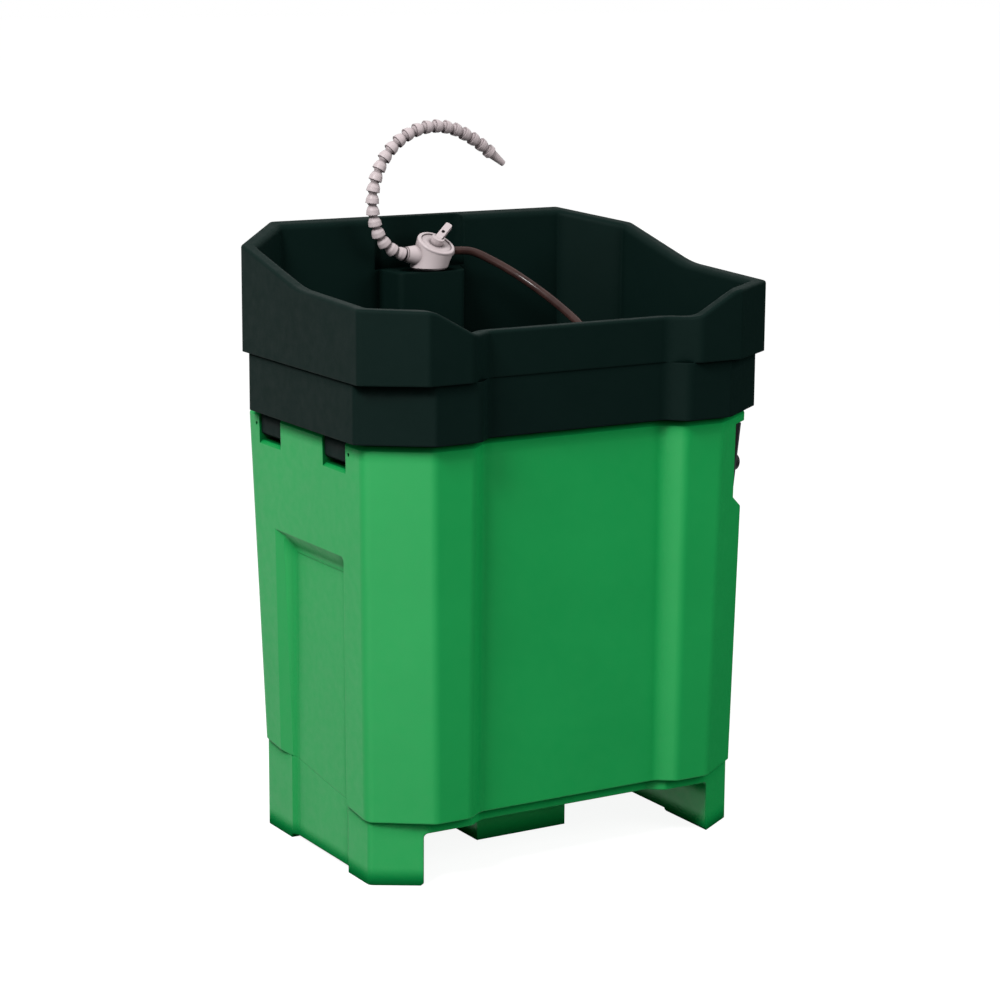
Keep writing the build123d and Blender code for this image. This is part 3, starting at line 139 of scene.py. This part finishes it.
class Shader:
    """A material with one principled shader and short ways to add nodes."""

    # Places of the colour sockets of a mix node
    mix_first = 6
    mix_second = 7
    mix_colour = 2

    def __init__(self, name):
        self.material = bpy.data.materials.new(name)
        self.material.use_nodes = True
        self.tree = self.material.node_tree
        self.shader = self.tree.nodes["Principled BSDF"]

    def node(self, kind, **sockets):
        made = self.tree.nodes.new(kind)
        for name, value in sockets.items():
            made.inputs[name.replace("_", " ")].default_value = value
        return made

    def link(self, source, target):
        self.tree.links.new(source, target)

    def set(self, **sockets):
        for name, value in sockets.items():
            self.shader.inputs[name.replace("_", " ")].default_value = value

    def place(self):
        return self.node("ShaderNodeTexCoord").outputs["Object"]

    def noise(self, scale, detail=3.0, roughness=0.55):
        made = self.node("ShaderNodeTexNoise", Scale=scale, Detail=detail, Roughness=roughness)
        self.link(self.place(), made.inputs["Vector"])
        return made.outputs["Fac"]

    def spread(self, value, low, high, start=0.3, end=0.7):
        """A value from a texture, spread between two numbers."""
        made = self.node("ShaderNodeMapRange")
        made.inputs["From Min"].default_value = start
        made.inputs["From Max"].default_value = end
        made.inputs["To Min"].default_value = low
        made.inputs["To Max"].default_value = high
        self.link(value, made.inputs["Value"])
        return made.outputs["Result"]

    def mix(self, share, first, second):
        made = self.tree.nodes.new("ShaderNodeMix")
        made.data_type = "RGBA"
        for socket, colour in ((made.inputs[self.mix_first], first), (made.inputs[self.mix_second], second)):
            if isinstance(colour, tuple):
                socket.default_value = colour
            else:
                self.link(colour, socket)
        self.link(share, made.inputs[0])
        return made.outputs[self.mix_colour]

    def bump(self, height, strength, distance, under=None):
        made = self.node("ShaderNodeBump", Strength=strength, Distance=distance)
        self.link(height, made.inputs["Height"])
        if under is not None:
            self.link(under, made.inputs["Normal"])
        return made.outputs["Normal"]


def moulded(name, colour, shade, roughness, grain, pores, specular, edge=0.001, waves=0.06, hollow=0.008):
    """Moulded plastic: slight cloudiness, fine grain, soft waviness, softened edges, and painted shade in
    hollows, where colour and gloss are darkened.
    """
    look = Shader(name)
    cloud = look.spread(look.noise(cloud_scale, 4.0), 0.0, 1.0)
    plain = look.mix(cloud, colour, shade)
    # Painted shade: ambient occlusion finds hollows, corners and undersides, and the colour is darkened
    # there
    depth = look.node("ShaderNodeAmbientOcclusion", Distance=hollow)
    depth.samples = 6
    openness = look.spread(depth.outputs["AO"], 0.0, 1.0, painted_shade_below, shade_free_above)
    painted_shade_colour = (*(painted_hollow_shade * channel for channel in shade[:3]), 1.0)
    look.link(look.mix(openness, painted_shade_colour, plain), look.shader.inputs["Base Color"])
    # Painted shade: the gloss is taken away in the same hollows
    shine = look.spread(depth.outputs["AO"], 0.0, specular, painted_gloss_shade_below, gloss_unshaded_above)
    look.set(Specular_IOR_Level=specular)
    look.link(shine, look.shader.inputs["Specular IOR Level"])
    low, high = roughness
    look.link(look.spread(look.noise(patch_scale, 4.0), low, high), look.shader.inputs["Roughness"])
    bevel = look.node("ShaderNodeBevel", Radius=edge)
    bevel.samples = 4
    wave = look.bump(look.noise(wave_scale, 1.0), waves, wave_depth, bevel.outputs["Normal"])
    normal = look.bump(look.noise(grain, 2.0), pores, grain_depth, wave)
    look.link(normal, look.shader.inputs["Normal"])
    return look


tank_green = moulded(
    "tank_green",
    linear(21, 158, 78),
    linear(18, 153, 75),
    roughness=(0.38, 0.50),
    grain=900.0,
    pores=0.18,
    specular=0.29,
    edge=0.003,
    waves=0.10,
    hollow=0.03,
)
sink_black = moulded(
    "sink_black",
    linear(12, 28, 25),
    linear(10, 26, 23),
    roughness=(0.46, 0.58),
    grain=700.0,
    pores=0.15,
    specular=0.03,
    edge=0.004,
    hollow=0.02,
)
pale_plastic = moulded(
    "pale_plastic",
    linear(194, 182, 183),
    linear(186, 173, 175),
    roughness=(0.30, 0.42),
    grain=1500.0,
    pores=0.05,
    specular=0.25,
)
dark_plastic = moulded(
    "dark_plastic",
    linear(34, 34, 36),
    linear(28, 28, 30),
    roughness=(0.4, 0.55),
    grain=1800.0,
    pores=0.2,
    specular=0.4,
)
panel_grey = moulded(
    "panel_grey",
    linear(62, 64, 66),
    linear(56, 58, 60),
    roughness=(0.45, 0.6),
    grain=2600.0,
    pores=0.3,
    specular=0.4,
)
seal_rubber = moulded(
    "seal_rubber",
    linear(24, 24, 24),
    linear(19, 19, 19),
    roughness=(0.6, 0.8),
    grain=900.0,
    pores=0.2,
    specular=0.3,
)
bristle = moulded(
    "bristle",
    linear(222, 214, 192),
    linear(206, 196, 170),
    roughness=(0.35, 0.5),
    grain=2500.0,
    pores=0.2,
    specular=0.4,
)


def brushed(name, colour, shade, stretch):
    """Brushed metal with fine lines along one direction."""
    look = Shader(name)
    mapping = look.node("ShaderNodeMapping", Scale=stretch)
    look.link(look.place(), mapping.inputs["Vector"])
    lines = look.node("ShaderNodeTexNoise", Scale=40.0, Detail=4.0)
    look.link(mapping.outputs["Vector"], lines.inputs["Vector"])
    look.link(look.mix(lines.outputs["Fac"], colour, shade), look.shader.inputs["Base Color"])
    look.link(look.spread(lines.outputs["Fac"], 0.24, 0.38), look.shader.inputs["Roughness"])
    look.link(look.bump(lines.outputs["Fac"], 0.08, 0.0005), look.shader.inputs["Normal"])
    look.set(Metallic=1.0)
    return look


steel = brushed("steel", linear(205, 206, 208), linear(180, 182, 185), (1.0, 14.0, 14.0))
brass = brushed("brass", linear(205, 170, 96), linear(180, 145, 76), (14.0, 14.0, 1.0))

lamp_red = Shader("lamp_red")
lamp_red.link(
    lamp_red.mix(lamp_red.noise(220.0), linear(170, 24, 18), linear(140, 14, 10)),
    lamp_red.shader.inputs["Base Color"],
)
lamp_red.set(Roughness=0.12, Coat_Weight=0.4)

brown_hose = Shader("brown_hose")
brown_cloud = brown_hose.spread(brown_hose.noise(30.0), 0.0, 1.0)
brown_hose.link(
    brown_hose.mix(brown_cloud, linear(64, 44, 40), linear(46, 30, 28)),
    brown_hose.shader.inputs["Base Color"],
)
brown_hose.link(
    brown_hose.spread(brown_hose.noise(120.0), 0.16, 0.26),
    brown_hose.shader.inputs["Roughness"],
)
brown_hose.set(Specular_IOR_Level=0.15, Coat_Weight=0.12, Coat_Roughness=0.12)

looks = {
    "tank_green": tank_green,
    "sink_black": sink_black,
    "pale_plastic": pale_plastic,
    "brown_hose": brown_hose,
    "dark_plastic": dark_plastic,
    "bristle": bristle,
    "steel": steel,
    "seal_rubber": seal_rubber,
    "brass": brass,
    "panel_grey": panel_grey,
    "lamp_red": lamp_red,
}


def dress(piece, look):
    """Give a piece made here one look all over."""
    piece.data.materials.clear()
    piece.data.materials.append(look.material)


def dress_nodes():
    """Give every CAD node the look of its material slot."""
    for part in frame["record"]["subparts"]:
        node = nodes[part["node"]]
        look = looks[part["material_slot"]]
        if len(node.material_slots) == 0:
            node.data.materials.append(look.material)
        for slot in node.material_slots:
            slot.material = look.material


def make_tuft():
    """Round tuft of single bristles that spread towards their tips."""
    end = Vector(hose_points[-1])
    way = (end - Vector(hose_points[-2])).normalized()
    across = way.cross(Vector((0, 0, 1))).normalized()
    upward = across.cross(way)
    chance = random.Random(4)
    golden = math.pi * (3 - math.sqrt(5))
    sides = bristle_sides
    points = []
    faces = []
    for index in range(bristle_count):
        reach = tuft_radius * math.sqrt((index + 0.5) / bristle_count)
        angle = index * golden
        out = math.cos(angle) * across + math.sin(angle) * upward
        lean = tuft_flare + chance.uniform(-lean_spread, lean_spread)
        length = bristle_length * chance.uniform(1.0 - length_spread, 1.0)
        root = end + way * bristle_start + out * reach
        tip = end + way * (bristle_start + length) + out * reach * lean
        first = len(points)
        for place, width in ((root, bristle_radius), (tip, bristle_radius * bristle_tip)):
            for side in range(sides):
                turn = 2 * math.pi * side / sides
                points.append(place + (math.cos(turn) * across + math.sin(turn) * upward) * width)
        for side in range(sides):
            after = (side + 1) % sides
            faces.append((first + side, first + after, first + sides + after, first + sides + side))
        faces.append(tuple(first + side for side in reversed(range(sides))))
        faces.append(tuple(first + sides + side for side in range(sides)))
    mesh = bpy.data.meshes.new("tuft")
    mesh.from_pydata(points, [], faces)
    tuft = bpy.data.objects.new("tuft", mesh)
    bpy.context.collection.objects.link(tuft)
    dress(tuft, bristle)
    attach(tuft, "sink")
    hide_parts("brush_bristles")
    return tuft


def make_hose(tuft):
    """Smooth brush hose along its route."""
    curve = bpy.data.curves.new("hose", "CURVE")
    curve.dimensions = "3D"
    curve.bevel_depth = hose_diameter / 2
    curve.bevel_resolution = 8
    curve.resolution_u = 12
    curve.use_fill_caps = True
    spline = curve.splines.new("NURBS")
    spline.points.add(len(hose_points) - 1)
    for point, place in zip(spline.points, hose_points):
        point.co = (*place, 1.0)
    spline.order_u = 3
    spline.use_endpoint_u = True
    hose = bpy.data.objects.new("hose", curve)
    bpy.context.collection.objects.link(hose)
    dress(hose, brown_hose)
    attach(hose, "sink")
    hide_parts("brush_hose")


# Floor, background and light

# Share of the white world that lights matt surfaces
diffuse_light = 0.42

# Floor: its reach in metres, its two greys and what the camera sees on top of them
floor_reach = 40.0
floor_grey = (0.24, 0.24, 0.24, 1.0)
floor_shade = (0.22, 0.22, 0.22, 1.0)
floor_glow = 0.91

# Cards that only reflections see: begin and end in degrees from the right, size in metres.
# The dark one stands at the right and in front, the bright one at the left of the camera.
dark_start = -85
dark_end = 50
bright_start = -175
bright_end = -120
bright_glow = 2.8
card_distance = 2.6
card_bottom = -2.0
card_top = 1.7
card_parts = 9
card_grey = (0.03, 0.03, 0.03, 1.0)
card_shade = (0.02, 0.02, 0.02, 1.0)


def make_floor():
    """Plain pale floor that keeps the shadow."""
    mesh = bpy.data.meshes.new("floor")
    reach = floor_reach
    corners = [(-reach, -reach, 0), (reach, -reach, 0), (reach, reach, 0), (-reach, reach, 0)]
    mesh.from_pydata(corners, [], [(0, 1, 2, 3)])
    floor = bpy.data.objects.new("floor", mesh)
    bpy.context.collection.objects.link(floor)
    look = Shader("floor")
    look.link(
        look.mix(look.noise(2.0), floor_grey, floor_shade),
        look.shader.inputs["Base Color"],
    )
    look.set(Roughness=0.9, Specular_IOR_Level=0.0)
    seen = look.node("ShaderNodeLightPath")
    glow = look.node("ShaderNodeEmission", Color=(1, 1, 1, 1))
    look.link(look.spread(seen.outputs["Is Camera Ray"], 0.0, floor_glow, 0.0, 1.0), glow.inputs["Strength"])
    both = look.tree.nodes.new("ShaderNodeAddShader")
    look.link(look.shader.outputs["BSDF"], both.inputs[0])
    look.link(glow.outputs["Emission"], both.inputs[1])
    look.link(both.outputs["Shader"], look.tree.nodes["Material Output"].inputs["Surface"])
    floor.data.materials.append(look.material)
    floor.visible_glossy = False


def make_card(name, start, end, glow):
    """Curved card that only reflections see, as a studio sets beside shiny plastic."""
    points = []
    faces = []
    for index in range(card_parts + 1):
        angle = math.radians(start + (end - start) * index / card_parts)
        for height in (card_bottom, card_top):
            points.append((card_distance * math.cos(angle), card_distance * math.sin(angle), height))
        if index > 0:
            first = 2 * index - 2
            faces.append((first, first + 2, first + 3, first + 1))
    mesh = bpy.data.meshes.new(name)
    mesh.from_pydata(points, [], faces)
    card = bpy.data.objects.new(name, mesh)
    bpy.context.collection.objects.link(card)
    look = Shader(name)
    look.link(
        look.mix(look.noise(3.0), card_grey, card_shade),
        look.shader.inputs["Base Color"],
    )
    look.set(Roughness=1.0, Specular_IOR_Level=0.0, Emission_Strength=glow)
    card.data.materials.append(look.material)
    card.visible_camera = False
    card.visible_diffuse = False
    card.visible_shadow = False
    card.visible_transmission = False


def make_world():
    """White where the camera, a reflection or clear material sees it, dimmer as diffuse light."""
    world = bpy.data.worlds.new("studio")
    bpy.context.scene.world = world
    world.use_nodes = True
    tree = world.node_tree
    tree.nodes.clear()
    seen = tree.nodes.new("ShaderNodeLightPath")
    shown = seen.outputs["Is Camera Ray"]
    for ray in ("Is Glossy Ray", "Is Transmission Ray"):
        either = tree.nodes.new("ShaderNodeMath")
        either.operation = "MAXIMUM"
        tree.links.new(shown, either.inputs[0])
        tree.links.new(seen.outputs[ray], either.inputs[1])
        shown = either.outputs[0]
    strength = tree.nodes.new("ShaderNodeMapRange")
    strength.inputs["To Min"].default_value = diffuse_light
    strength.inputs["To Max"].default_value = 1.0
    tree.links.new(shown, strength.inputs["Value"])
    background = tree.nodes.new("ShaderNodeBackground")
    background.inputs["Color"].default_value = (1, 1, 1, 1)
    tree.links.new(strength.outputs["Result"], background.inputs["Strength"])
    output = tree.nodes.new("ShaderNodeOutputWorld")
    tree.links.new(background.outputs[0], output.inputs["Surface"])


def make_lamp(name, place, target, size, power, shine=False):
    """Round soft lamp, in metres and watts; reflections see it only where shine is set."""
    data = bpy.data.lights.new(name, "AREA")
    data.shape = "DISK"
    data.size = size
    data.energy = power
    lamp = bpy.data.objects.new(name, data)
    lamp.location = place
    aim = Vector(target) - Vector(place)
    lamp.rotation_euler = aim.to_track_quat("-Z", "Y").to_euler()
    lamp.visible_glossy = shine
    bpy.context.collection.objects.link(lamp)


make_camera()
make_hose(make_tuft())
dress_nodes()
make_floor()
make_card("dark_card", dark_start, dark_end, 0.0)
make_card("bright_card", bright_start, bright_end, bright_glow)
make_world()
make_lamp("key", (-2.8, -1.3, 3.8), (0, 0, 0.6), size=1.4, power=172.0, shine=True)
make_lamp("fill", (2.6, -3.2, 2.2), (0, 0, 0.6), size=2.4, power=64.0)
make_lamp("top", (0.4, 0.6, 3.6), (0, 0, 0.7), size=2.0, power=14.0)

bpy.context.scene.view_settings.view_transform = "Standard"
